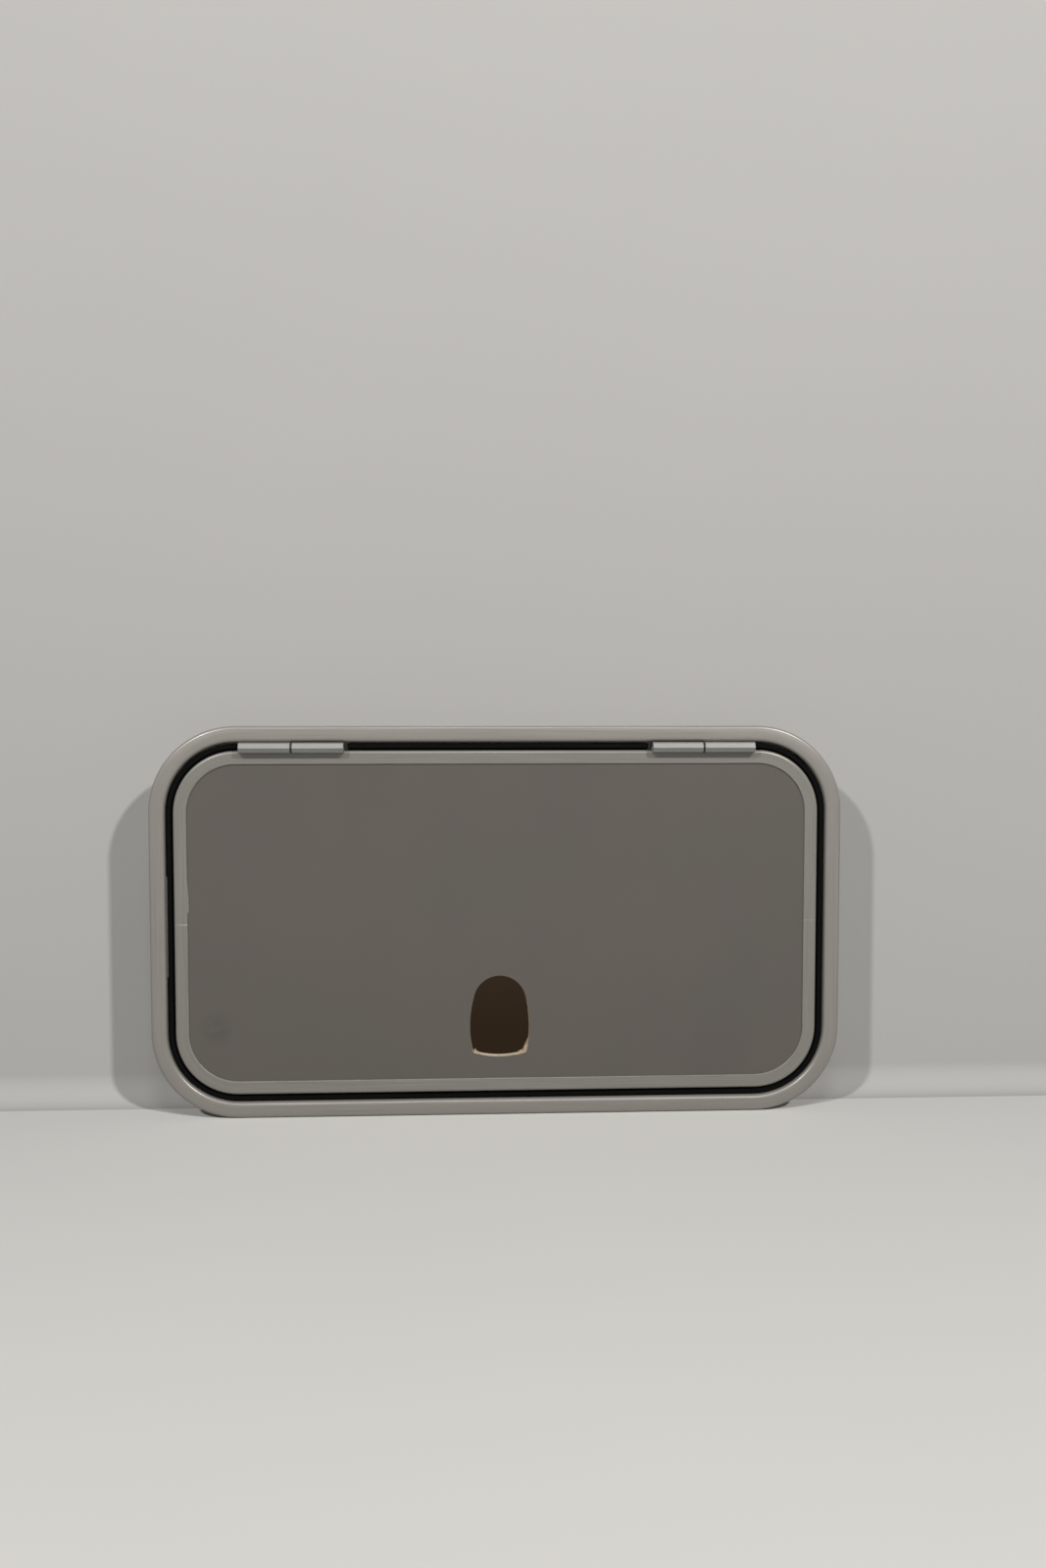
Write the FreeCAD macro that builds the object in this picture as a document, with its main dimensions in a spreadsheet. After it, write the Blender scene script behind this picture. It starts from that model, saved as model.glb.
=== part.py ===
import FreeCAD, Part
import math
import os
import re
import Sketcher

# Service hatch of a caravan: a bent flange frame in the wall, a framed door leaf on two barrel
# hinges along its top edge, a rubber seal in the gap and a lock cut-out through the door panel.
# X runs along the width, +Y into the wall and +Z up. Y = 0 is the flange face that lies on the
# wall, and the origin is on that face, at the middle of the bottom run of the flange's foot.
# The hardest piece is the flange frame: one extrusion with lip, crown, groove, collar and stop leg,
# swept round the bent corners.

SIZES = {
    "door_width": 656.0,        # outside of the door frame
    "door_height": 350.4,
    "door_radius": 63.2,        # bend of the door frame's outer edge
    "door_proud": 8.0,          # door front in front of the wall
    "lip_width": 13.65,         # front lip of the door frame
    "lip_thick": 1.6,
    "lip_ease": 0.6,            # bevelled inner edge of the front lip
    "web_thick": 2.5,
    "door_round": 3.0,          # rounded front edge of the door frame
    "rear_lip": 11.0,
    "rear_ease": 1.5,           # bevelled rear edge of the door frame
    "joint_drop": 0.4,          # butt joint of the door frame's halves, below mid-height
    "bump_low": 11.6,           # swollen stretch of the left lip over the door's middle
    "bump_long": 34.0,
    "bump_rise": 1.3,
    "skin_thick": 1.0,
    "core_thick": 8.0,
    "panel_clear": 0.3,         # panel edge to the bottom of the door frame's channel
    "gap": 8.35,                # door edge to the flange frame
    "flange_width": 16.65,
    "flange_height": 7.0,       # highest line of the flange over the wall
    "flange_lip": 4.0,          # rounded inner edge of the flange
    "flange_edge": 3.5,         # rounded outer edge of the flange
    "crown_radius": 45.0,
    "foot_width": 4.0,          # outer foot of the flange, flat on the wall
    "groove_depth": 3.8,        # sealant groove behind the flange
    "pad_width": 3.0,           # inner pad beside the groove
    "collar_thick": 2.0,
    "collar_depth": 26.0,       # collar behind the wall's outer face
    "stop_thick": 1.8,
    "stop_reach": 6.0,          # stop leg behind the door's edge
    "strip_thick": 1.2,         # cover over the flange frame's joint, in the left gap
    "strip_long": 102.6,
    "strip_drop": 3.3,
    "strip_depth": 11.0,
    "seal_side": 1.6,           # seal to the door's edge
    "seal_back": 1.35,          # seal to the collar
    "seal_sink": 3.0,           # seal's front line behind the flange's front
    "seal_ease": 1.1,           # bevelled front corners of the seal
    "seal_pad": 3.0,            # flat part of the seal on the stop leg
    "seal_inset": 0.5,
    "seal_play": 0.5,           # flat part of the seal to the door's back
    "seal_end": 3.5,            # cut ends of the seal to the hinges
    "hinge_inset": 119.4,       # hinge's middle from the door's side edge
    "knuckle_long": 51.4,
    "knuckle_gap": 1.9,
    "barrel_diameter": 11.3,
    "barrel_flat": 4.4,         # height of each of the two front flats, which meet in a ridge
    "barrel_chamfer": 0.4,
    "pin_diameter": 5.0,
    "pin_fit": 0.03,            # radial play of the pin in its knuckles
    "pin_recess": 0.5,
    "pin_rise": 2.8,            # pin over the door's top edge
    "pin_proud": 4.0,           # pin in front of the door's front
    "leaf_thick": 2.5,
    "leaf_inset": 0.6,          # hinge leaves short of the faces behind them
    "washer_diameter": 9.6,
    "washer_play": 0.2,
    "lock_width": 61.0,         # lock cut-out at its widest
    "lock_height": 84.0,
    "lock_drop": 139.5,         # its lowest point below the door's middle
    "lock_belly": 31.5,         # widest line over the lowest point
    "lock_side": 120.0,         # radius of its bowed sides
    "lock_base": 92.0,          # radius of its bowed bottom
    "lock_corner": 3.5,
    "lock_shift": 0.7,          # off the door's middle
}

doc = FreeCAD.newDocument("service_hatch")
sheet = doc.addObject("Spreadsheet::Sheet", "sizes")
for row, (alias, size) in enumerate(SIZES.items(), start=1):
    sheet.set(f"A{row}", alias)
    sheet.set(f"B{row}", str(size))
    sheet.setAlias(f"B{row}", alias)
doc.recompute()

X_AXIS = FreeCAD.Vector(1, 0, 0)
pieces = []


def bound(formula):
    # A formula in the sheet's words, as another object of the document reads it.
    return re.sub(r"[a-z_]+", lambda word: f"sizes.{word[0]}" if word[0] in SIZES else word[0], formula)


def value(formula):
    return float(doc.getObject("sizes").evalExpression(formula))


# Places across the wall, in Y.
DOOR_FRONT = "(-door_proud)"
PANEL_FRONT = "(-door_proud + lip_thick)"
CORE_FRONT = "(-door_proud + lip_thick + skin_thick)"
CORE_REAR = "(-door_proud + lip_thick + skin_thick + core_thick)"
PANEL_REAR = "(-door_proud + lip_thick + 2 * skin_thick + core_thick)"
DOOR_REAR = "(-door_proud + 2 * lip_thick + 2 * skin_thick + core_thick)"
STOP_FRONT = f"({DOOR_REAR} + seal_play + seal_pad)"
STOP_REAR = f"({STOP_FRONT} + stop_thick)"
PIN_Y = "(-door_proud - pin_proud)"

# Places in the plane of the wall, from the door's middle.
HALF_WIDTH = "door_width / 2"
HALF_HEIGHT = "door_height / 2"
PIN_Z = "(door_height / 2 + pin_rise)"
DOOR_MIDDLE = "(door_height / 2 + gap + flange_width - foot_width / 2)"
HINGE_MIDDLE = "(door_width / 2 - hinge_inset)"
HINGE_END = f"({HINGE_MIDDLE} + knuckle_gap / 2 + knuckle_long)"
HINGE_START = f"({HINGE_MIDDLE} - knuckle_gap / 2 - knuckle_long)"


def make_body(name):
    body = doc.addObject("PartDesign::Body", name)
    body.Label = name
    body.setExpression("Placement.Base.z", bound(DOOR_MIDDLE))
    pieces.append(body)
    return body


def origin_plane(body, role):
    return next(part for part in body.Origin.OriginFeatures if part.Role == role)


def make_sketch(body, name, role, offset="0"):
    # A sketch on one of the body's origin planes, moved along the plane's normal.
    sketch = body.newObject("Sketcher::SketchObject", f"{body.Name}_{name}")
    sketch.AttachmentSupport = [(origin_plane(body, role), "")]
    sketch.MapMode = "FlatFace"
    sketch.setExpression("AttachmentOffset.Base.z", bound(offset))
    return sketch


def tie(sketch, kind, *where, formula):
    # A dimension of the sketch that follows the sheet.
    index = sketch.addConstraint(Sketcher.Constraint(kind, *where, value(formula)))
    sketch.setExpression(f"Constraints[{index}]", bound(formula))


def tie_point(sketch, edge, end, across, up):
    tie(sketch, "DistanceX", -1, 1, edge, end, formula=across)
    tie(sketch, "DistanceY", -1, 1, edge, end, formula=up)


def arc_middle(start, end, radius, turn):
    chord = end - start
    left = FreeCAD.Vector(-chord.y, chord.x, 0).normalize()
    bow = radius - math.sqrt(radius ** 2 - (chord.Length / 2) ** 2)
    return (start + end) / 2 - left * bow * turn


def draw(sketch, corners, closed=True):
    # An outline whose corners follow the sheet. A corner is (across, up), or (across, up, radius, turn)
    # where the edge that leaves it is an arc to the left (1) or to the right (-1).
    points = [FreeCAD.Vector(value(corner[0]), value(corner[1]), 0) for corner in corners]
    count = len(corners) if closed else len(corners) - 1
    ends = []
    for number in range(count):
        start, end = points[number], points[(number + 1) % len(points)]
        if len(corners[number]) == 2:
            edge = sketch.addGeometry(Part.LineSegment(start, end))
            ends.append((edge, 1, 2))
            continue
        radius, turn = corners[number][2:]
        middle = arc_middle(start, end, value(radius), turn)
        if turn > 0:
            edge = sketch.addGeometry(Part.Arc(start, middle, end))
            ends.append((edge, 1, 2))
        else:
            edge = sketch.addGeometry(Part.Arc(end, middle, start))
            ends.append((edge, 2, 1))
        tie(sketch, "Radius", edge, formula=radius)
    for number, (edge, first, last) in enumerate(ends):
        tie_point(sketch, edge, first, *corners[number][:2])
        if number + 1 < count or closed:
            following, joined, _ = ends[(number + 1) % count]
            sketch.addConstraint(Sketcher.Constraint("Coincident", edge, last, following, joined))
        else:
            tie_point(sketch, edge, last, *corners[-1][:2])


def draw_circle(sketch, across, up, diameter):
    centre = FreeCAD.Vector(value(across), value(up), 0)
    edge = sketch.addGeometry(Part.Circle(centre, FreeCAD.Vector(0, 0, 1), value(diameter) / 2))
    tie_point(sketch, edge, 3, across, up)
    tie(sketch, "Diameter", edge, formula=diameter)


def rounded_rectangle(width, height, radius):
    right, top = f"({width} / 2)", f"({height} / 2)"
    return [
        (f"{radius} - {right}", f"-{top}"),
        (f"{right} - {radius}", f"-{top}", radius, 1),
        (right, f"{radius} - {top}"),
        (right, f"{top} - {radius}", radius, 1),
        (f"{right} - {radius}", top),
        (f"{radius} - {right}", top, radius, 1),
        (f"-{right}", f"{top} - {radius}"),
        (f"-{right}", f"{radius} - {top}", radius, 1),
    ]


def lock_outline():
    # Egg-shaped cut-out: round top, bowed sides that run into it, bowed bottom and small lower corners.
    rise = "(lock_height - lock_belly)"
    lean = "(lock_side - lock_width / 2)"
    top = f"((lock_side^2 - {lean}^2 - {rise}^2) / (2 * (lock_side - {rise})))"
    reach = f"(lock_side / (lock_side - {top}))"
    shoulder_x = f"({lean} * ({reach} - 1))"
    shoulder_z = f"(({rise} - {top}) * {reach} - lock_drop + lock_belly)"
    # The lower corner is an arc that touches the side and the bottom from inside.
    side_run = "(lock_side - lock_corner)"
    base_run = "(lock_base - lock_corner)"
    rise_base = "(lock_base - lock_belly)"
    span = f"sqrt({lean}^2 + {rise_base}^2)"
    along = f"(({side_run}^2 - {base_run}^2 + {span}^2) / (2 * {span}))"
    aside = f"sqrt({side_run}^2 - {along}^2)"
    corner_x = f"(({along} * {lean} + {aside} * {rise_base}) / {span} - {lean})"
    corner_z = f"(({along} * {rise_base} - {aside} * {lean}) / {span})"
    side_x = f"(({corner_x} + {lean}) * lock_side / {side_run} - {lean})"
    side_z = f"({corner_z} * lock_side / {side_run} - lock_drop + lock_belly)"
    base_x = f"({corner_x} * lock_base / {base_run})"
    base_z = f"(({corner_z} - {rise_base}) * lock_base / {base_run} + lock_base - lock_drop)"
    return [
        (f"lock_shift - {base_x}", base_z, "lock_base", 1),
        (f"lock_shift + {base_x}", base_z, "lock_corner", 1),
        (f"lock_shift + {side_x}", side_z, "lock_side", 1),
        (f"lock_shift + {shoulder_x}", shoulder_z, top, 1),
        (f"lock_shift - {shoulder_x}", shoulder_z, "lock_side", 1),
        (f"lock_shift - {side_x}", side_z, "lock_corner", 1),
    ]


def add_pad(body, sketch, length, reverse=False, both=False):
    pad = body.newObject("PartDesign::Pad", f"{sketch.Name}_pad")
    pad.Profile = sketch
    pad.setExpression("Length", bound(length))
    pad.Reversed = reverse
    pad.SideType = "Symmetric" if both else "One side"
    doc.recompute()
    return pad


def add_pocket(body, sketch, length, reverse=False, both=False):
    pocket = body.newObject("PartDesign::Pocket", f"{sketch.Name}_pocket")
    pocket.Profile = sketch
    pocket.setExpression("Length", bound(length))
    pocket.Reversed = reverse
    pocket.SideType = "Symmetric" if both else "One side"
    doc.recompute()


def beside_door(section, side):
    # A section of (depth, away from the door's edge) corners, beside its bottom (-1) or top (1) edge.
    # Its arcs turn as they do at the bottom.
    corners = []
    for depth, away, *arc in section:
        bend = (arc[0], -side * arc[1]) if arc else ()
        corners.append((depth, f"{side} * ({HALF_HEIGHT} + {away})", *bend))
    return corners


def sweep_round_door(body, section):
    # Sweeps a section round the right half of the door's edge and mirrors it to the left.
    outline = rounded_rectangle("door_width", "door_height", "door_radius")
    path = make_sketch(body, "path", "XZ_Plane")
    draw(path, [("0", f"-{HALF_HEIGHT}"), *outline[1:5], ("0", HALF_HEIGHT)], closed=False)
    profile = make_sketch(body, "section", "YZ_Plane")
    draw(profile, beside_door(section, -1))
    sweep = body.newObject("PartDesign::AdditivePipe", f"{body.Name}_sweep")
    sweep.Profile = profile
    sweep.Spine = path
    doc.recompute()
    mirror = body.newObject("PartDesign::Mirrored", f"{body.Name}_mirror")
    mirror.Originals = [sweep]
    mirror.MirrorPlane = (origin_plane(body, "YZ_Plane"), [""])
    body.Tip = mirror
    doc.recompute()


def make_outer_frame():
    body = make_body("outer_frame")
    run = "(flange_width - flange_lip - flange_edge)"
    slope = f"sqrt((crown_radius - flange_edge)^2 - {run}^2)"
    share = "(crown_radius / (crown_radius - flange_edge))"
    edge_start = f"(crown_radius - flange_height - {share} * {slope})"
    edge_end = f"(crown_radius - flange_height - {slope})"
    out = "(gap + flange_width)"
    section = [
        ("collar_depth", "gap"),
        (STOP_REAR, "gap"),
        (STOP_REAR, "-stop_reach"),
        (STOP_FRONT, "-stop_reach"),
        (STOP_FRONT, "gap"),
        ("flange_lip - flange_height", "gap", "flange_lip", 1),
        ("-flange_height", "gap + flange_lip", "crown_radius", 1),
        (edge_start, f"gap + flange_lip + {share} * {run}", "flange_edge", 1),
        (edge_end, out),
        ("0", out),
        ("0", f"{out} - foot_width"),
        ("-groove_depth", f"{out} - foot_width"),
        ("-groove_depth", "gap + collar_thick + pad_width"),
        ("0", "gap + collar_thick + pad_width"),
        ("0", "gap + collar_thick"),
        ("collar_depth", "gap + collar_thick"),
    ]
    sweep_round_door(body, section)


def seal_section():
    front = "(seal_sink - flange_height)"
    foot = "(seal_inset - stop_reach)"
    return [
        (STOP_FRONT, foot),
        (STOP_FRONT, "gap - seal_back"),
        (f"{front} + seal_ease", "gap - seal_back"),
        (front, "gap - seal_back - seal_ease"),
        (front, "seal_side + seal_ease"),
        (f"{front} + seal_ease", "seal_side"),
        (f"{STOP_FRONT} - seal_pad", "seal_side"),
        (f"{STOP_FRONT} - seal_pad", foot),
    ]


def make_seals():
    # The seal is cut at both hinges: a long piece round the door and a short one between the hinges.
    body = make_body("seal_surround")
    sweep_round_door(body, seal_section())
    cut = make_sketch(body, "cut", "XZ_Plane")
    end, top = f"({HINGE_END} + seal_end)", f"({HALF_HEIGHT} + gap)"
    draw(cut, [(f"-{end}", "0"), (end, "0"), (end, top), (f"-{end}", top)])
    add_pocket(body, cut, "2 * collar_depth", both=True)

    body = make_body("seal_top")
    profile = make_sketch(body, "section", "YZ_Plane")
    draw(profile, beside_door(seal_section(), 1))
    add_pad(body, profile, f"2 * ({HINGE_START} - seal_end)", both=True)


def make_frame_joint_strip():
    strip = doc.addObject("Part::Box", "frame_joint_strip")
    strip.Label = strip.Name
    strip.setExpression("Length", bound("strip_thick"))
    strip.setExpression("Width", bound("strip_depth"))
    strip.setExpression("Height", bound("strip_long"))
    strip.setExpression("Placement.Base.x", bound(f"-{HALF_WIDTH} - gap"))
    strip.setExpression("Placement.Base.y", bound("flange_lip - flange_height"))
    strip.setExpression("Placement.Base.z", bound(f"{DOOR_MIDDLE} - strip_drop - strip_long / 2"))
    pieces.append(strip)


def make_door_frame(name, side):
    # The upper (1) or lower (-1) half of the door frame: a bent channel that clamps the panel's edge.
    body = make_body(name)
    sweep_round_door(body, [
        (PANEL_FRONT, "-lip_width"),
        ("lip_ease - door_proud", "-lip_width"),
        (DOOR_FRONT, "lip_ease - lip_width"),
        (DOOR_FRONT, "-door_round", "door_round", 1),
        ("door_round - door_proud", "0"),
        (f"{DOOR_REAR} - rear_ease", "0"),
        (DOOR_REAR, "-rear_ease"),
        (DOOR_REAR, "-rear_lip"),
        (PANEL_REAR, "-rear_lip"),
        (PANEL_REAR, "-web_thick"),
        (PANEL_FRONT, "-web_thick"),
    ])
    other_half = make_sketch(body, "other_half", "XZ_Plane")
    end, far = f"({HALF_WIDTH} + gap)", f"{-side} * ({HALF_HEIGHT} + gap)"
    draw(other_half, [(f"-{end}", "-joint_drop"), (end, "-joint_drop"), (end, far), (f"-{end}", far)])
    add_pocket(body, other_half, "2 * collar_depth", both=True)
    return body


def add_lip_bump(body):
    # The left lip swells towards the joint and ends in a step just above it.
    edge = f"(lip_width - {HALF_WIDTH})"
    taper = "(bump_long - bump_rise)"
    radius = f"(({taper}^2 + bump_rise^2) / (2 * bump_rise))"
    sketch = make_sketch(body, "bump", "XZ_Plane", f"-{PANEL_FRONT}")
    root = f"({edge} - lip_ease)"
    draw(sketch, [
        (root, "bump_low"),
        (edge, "bump_low"),
        (f"{edge} + bump_rise", "bump_low + bump_rise", radius, 1),
        (edge, "bump_low + bump_long"),
        (root, "bump_low + bump_long"),
    ])
    add_pad(body, sketch, "lip_thick - lip_ease")


def make_panel_layer(name, front, thick):
    body = make_body(name)
    edge = "(web_thick + panel_clear)"
    sketch = make_sketch(body, "outline", "XZ_Plane", f"-{front}")
    draw(sketch, rounded_rectangle(
        f"(door_width - 2 * {edge})", f"(door_height - 2 * {edge})", f"(door_radius - {edge})"))
    draw(sketch, lock_outline())
    add_pad(body, sketch, thick, reverse=True)


def make_hinge_half(name, start, low, rear):
    # A knuckle with its leaf: the leaf lies from low upwards over the door's edge, back to rear.
    body = make_body(name)
    barrel = make_sketch(body, "barrel", "YZ_Plane", start)
    radius = "(barrel_diameter / 2)"
    shoulder = f"({PIN_Y} - sqrt({radius}^2 - barrel_flat^2))"
    draw(barrel, [
        (f"{PIN_Y} + {radius}", PIN_Z, radius, 1),
        (shoulder, f"{PIN_Z} + barrel_flat"),
        (f"{PIN_Y} - {radius}", PIN_Z),
        (shoulder, f"{PIN_Z} - barrel_flat", radius, 1),
    ])
    pad = add_pad(body, barrel, "knuckle_long")
    rims = [f"Edge{number}" for number, edge in enumerate(pad.Shape.Edges, start=1)
            if edge.BoundBox.XLength < 0.001]
    chamfer = body.newObject("PartDesign::Chamfer", f"{name}_chamfer")
    chamfer.Base = (pad, rims)
    chamfer.setExpression("Size", bound("barrel_chamfer"))
    doc.recompute()
    leaf = make_sketch(body, "leaf", "YZ_Plane", start)
    base, top = f"{HALF_HEIGHT} + {low}", f"{HALF_HEIGHT} + {low} + leaf_thick"
    draw(leaf, [(PIN_Y, base), (rear, base), (rear, top), (PIN_Y, top)])
    add_pad(body, leaf, "knuckle_long")
    bore = make_sketch(body, "bore", "YZ_Plane", start)
    draw_circle(bore, PIN_Y, PIN_Z, "pin_diameter + 2 * pin_fit")
    add_pocket(body, bore, "knuckle_long", reverse=True)


def make_hinge(side, sign):
    # The outer knuckle belongs to the flange frame and the inner one to the door.
    outer = f"({sign} * ({HINGE_MIDDLE} + (knuckle_gap + knuckle_long) / 2) - knuckle_long / 2)"
    inner = f"({sign} * ({HINGE_MIDDLE} - (knuckle_gap + knuckle_long) / 2) - knuckle_long / 2)"
    make_hinge_half(f"hinge_frame_half_{side}", outer, "gap - leaf_thick", f"{STOP_FRONT} - leaf_inset")
    make_hinge_half(f"hinge_door_half_{side}", inner, "0", f"{DOOR_REAR} - rear_ease - leaf_inset")

    washer = make_body(f"hinge_washer_{side}")
    thick = "(knuckle_gap - washer_play)"
    start = f"{HINGE_MIDDLE} + knuckle_gap / 2"
    face = f"{start} - {thick}" if sign > 0 else f"-({start})"
    ring = make_sketch(washer, "ring", "YZ_Plane", face)
    draw_circle(ring, PIN_Y, PIN_Z, "washer_diameter")
    draw_circle(ring, PIN_Y, PIN_Z, "pin_diameter + 2 * pin_fit")
    add_pad(washer, ring, thick)

    pin = doc.addObject("Part::Cylinder", f"hinge_pin_{side}")
    pin.Label = pin.Name
    length = f"({HINGE_END} - {HINGE_START} - 2 * pin_recess)"
    pin.setExpression("Radius", bound("pin_diameter / 2"))
    pin.setExpression("Height", bound(length))
    pin.Placement.Rotation = FreeCAD.Rotation(FreeCAD.Vector(0, 0, 1), X_AXIS)
    pin.setExpression("Placement.Base.x", bound(f"{sign} * {HINGE_MIDDLE} - {length} / 2"))
    pin.setExpression("Placement.Base.y", bound(PIN_Y))
    pin.setExpression("Placement.Base.z", bound(f"{DOOR_MIDDLE} + {PIN_Z}"))
    pieces.append(pin)


make_outer_frame()
make_frame_joint_strip()
make_seals()
add_lip_bump(make_door_frame("door_frame_upper", 1))
make_door_frame("door_frame_lower", -1)
make_panel_layer("outer_skin", PANEL_FRONT, "skin_thick")
make_panel_layer("panel_core", CORE_FRONT, "core_thick")
make_panel_layer("inner_skin", CORE_REAR, "skin_thick")
make_hinge("left", -1)
make_hinge("right", 1)
doc.recompute()

failed = [part.Name for part in doc.Objects if {"Invalid", "Error"} & set(part.State)]
failed += [piece.Name for piece in pieces if piece.Shape.isNull() or not piece.Shape.isValid()]
if failed:
    raise RuntimeError(f"not built: {failed}")

os.makedirs("parts", exist_ok=True)
for piece in pieces:
    piece.Shape.exportStep(f"parts/{piece.Label}.step")
    print(piece.Label, len(piece.Shape.Solids), "solid,", round(piece.Shape.Volume / 1000, 2), "cm3")
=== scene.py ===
import math
import random

import bmesh
import bpy
from mathutils import Matrix, Vector


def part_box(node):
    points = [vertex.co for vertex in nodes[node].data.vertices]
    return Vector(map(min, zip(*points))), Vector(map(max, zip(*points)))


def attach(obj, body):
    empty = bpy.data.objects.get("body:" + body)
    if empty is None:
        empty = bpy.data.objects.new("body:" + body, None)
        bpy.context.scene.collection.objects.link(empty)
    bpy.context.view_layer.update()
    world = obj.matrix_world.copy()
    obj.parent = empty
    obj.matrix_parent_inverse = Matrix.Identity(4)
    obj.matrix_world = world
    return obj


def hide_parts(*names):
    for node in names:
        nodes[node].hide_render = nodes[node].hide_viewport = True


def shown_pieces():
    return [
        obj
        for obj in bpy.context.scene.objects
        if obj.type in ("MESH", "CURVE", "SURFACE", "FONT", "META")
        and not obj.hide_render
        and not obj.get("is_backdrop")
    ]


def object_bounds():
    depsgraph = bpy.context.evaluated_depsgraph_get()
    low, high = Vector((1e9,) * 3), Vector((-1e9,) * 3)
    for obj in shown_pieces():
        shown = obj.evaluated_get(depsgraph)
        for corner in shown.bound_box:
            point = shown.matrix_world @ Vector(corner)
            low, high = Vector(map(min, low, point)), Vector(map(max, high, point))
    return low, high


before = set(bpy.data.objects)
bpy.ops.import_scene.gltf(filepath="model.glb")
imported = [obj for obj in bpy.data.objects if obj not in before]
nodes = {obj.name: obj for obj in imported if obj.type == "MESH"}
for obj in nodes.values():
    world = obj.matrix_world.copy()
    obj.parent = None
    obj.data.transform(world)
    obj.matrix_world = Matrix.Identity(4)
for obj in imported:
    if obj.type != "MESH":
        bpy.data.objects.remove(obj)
cadBox = [list(corner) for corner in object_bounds()]
scene = bpy.context.scene
scene.view_settings.view_transform = "Standard"
print("frame loaded:", len(nodes), "nodes")


# small helpers for node trees: a socket is linked, anything else is set
def feed(tree, node, inputs):
    for key, value in inputs.items():
        if isinstance(value, bpy.types.NodeSocket):
            tree.links.new(value, node.inputs[key])
        else:
            node.inputs[key].default_value = value


def put(tree, kind, inputs=None, **settings):
    node = tree.nodes.new(kind)
    for name, value in settings.items():
        setattr(node, name, value)
    feed(tree, node, inputs or {})
    return node


def maths(tree, operation, first, second=0.0):
    return put(tree, "ShaderNodeMath", {0: first, 1: second}, operation=operation).outputs[0]


def times(tree, first, second):
    return maths(tree, "MULTIPLY", first, second)


def remap(tree, value, low, high, toLow=0.0, toHigh=1.0):
    ends = {"Value": value, "From Min": low, "From Max": high, "To Min": toLow, "To Max": toHigh}
    return put(tree, "ShaderNodeMapRange", ends, interpolation_type="SMOOTHSTEP").outputs["Result"]


def spread(tree, value, toLow=0.0, toHigh=1.0):
    return remap(tree, value, 0.3, 0.7, toLow, toHigh)  # where most of a noise lies


def mixColour(tree, factor, first, second):
    return put(tree, "ShaderNodeMix", {0: factor, 6: first, 7: second}, data_type="RGBA").outputs[2]


def stain(tree, colour, mask, share, tint):
    return mixColour(tree, times(tree, mask, share), colour, tint)


def noise(tree, vector, scale, detail, rough):
    return put(tree, "ShaderNodeTexNoise", {"Vector": vector, "Scale": scale, "Detail": detail,
                                            "Roughness": rough}).outputs["Fac"]


def stretch(tree, vector, scale):
    return put(tree, "ShaderNodeMapping", {"Vector": vector, "Scale": scale}).outputs[0]


def splitAxes(tree, vector):
    return put(tree, "ShaderNodeSeparateXYZ", {0: vector}).outputs


def bump(tree, height, relief):
    strength, distance = relief
    return put(tree, "ShaderNodeBump", {"Height": height, "Strength": strength, "Distance": distance})


def startGroup(name, inputs, outputs):
    tree = bpy.data.node_groups.new(name, "ShaderNodeTree")
    for label, kind in inputs.items():
        tree.interface.new_socket(name=label, in_out="INPUT", socket_type=kind)
    for label in outputs:
        tree.interface.new_socket(name=label, in_out="OUTPUT", socket_type="NodeSocketFloat")
    return tree, tree.nodes.new("NodeGroupInput").outputs, tree.nodes.new("NodeGroupOutput").inputs


def useGroup(tree, group, inputs):
    return put(tree, "ShaderNodeGroup", inputs, node_tree=group).outputs


def startMaterial(name):
    material = bpy.data.materials.new(name)
    material.use_nodes = True
    tree = material.node_tree
    place = put(tree, "ShaderNodeTexCoord").outputs["Object"]
    return material, tree, tree.nodes["Principled BSDF"], place


# die lines that run round the bent profiles, in step with the door's rounded outline
def makeDieLines():
    number, vector = "NodeSocketFloat", "NodeSocketVector"
    tree, given, out = startGroup("dieLines", {"Place": vector, "Half Width": number, "Half Height": number,
                                               "Middle": number, "Corner": number, "Fineness": number},
                                  ["Lines", "Across"])
    axes = splitAxes(tree, given["Place"])
    side = maths(tree, "ABSOLUTE", axes[0])
    rise = maths(tree, "ABSOLUTE", maths(tree, "SUBTRACT", axes[2], given["Middle"]))
    overSide = maths(tree, "ADD", maths(tree, "SUBTRACT", side, given["Half Width"]), given["Corner"])
    overRise = maths(tree, "ADD", maths(tree, "SUBTRACT", rise, given["Half Height"]), given["Corner"])
    outSide = maths(tree, "MAXIMUM", overSide, 0.0)
    outRise = maths(tree, "MAXIMUM", overRise, 0.0)
    squares = maths(tree, "ADD", maths(tree, "POWER", outSide, 2.0), maths(tree, "POWER", outRise, 2.0))
    inner = maths(tree, "MINIMUM", maths(tree, "MAXIMUM", overSide, overRise), 0.0)
    reach = maths(tree, "ADD", maths(tree, "SQRT", squares), inner)
    across = maths(tree, "SUBTRACT", reach, given["Corner"])  # distance outside the door's edge
    run = times(tree, maths(tree, "ADD", axes[0], axes[2]), 9.0)  # long and slow along the profile
    fine = times(tree, across, given["Fineness"])
    deep = times(tree, axes[1], given["Fineness"])
    spot = put(tree, "ShaderNodeCombineXYZ", {0: fine, 1: deep, 2: run}).outputs[0]
    tree.links.new(noise(tree, spot, 1.0, 4.0, 0.65), out["Lines"])
    tree.links.new(across, out["Across"])
    return tree


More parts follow.
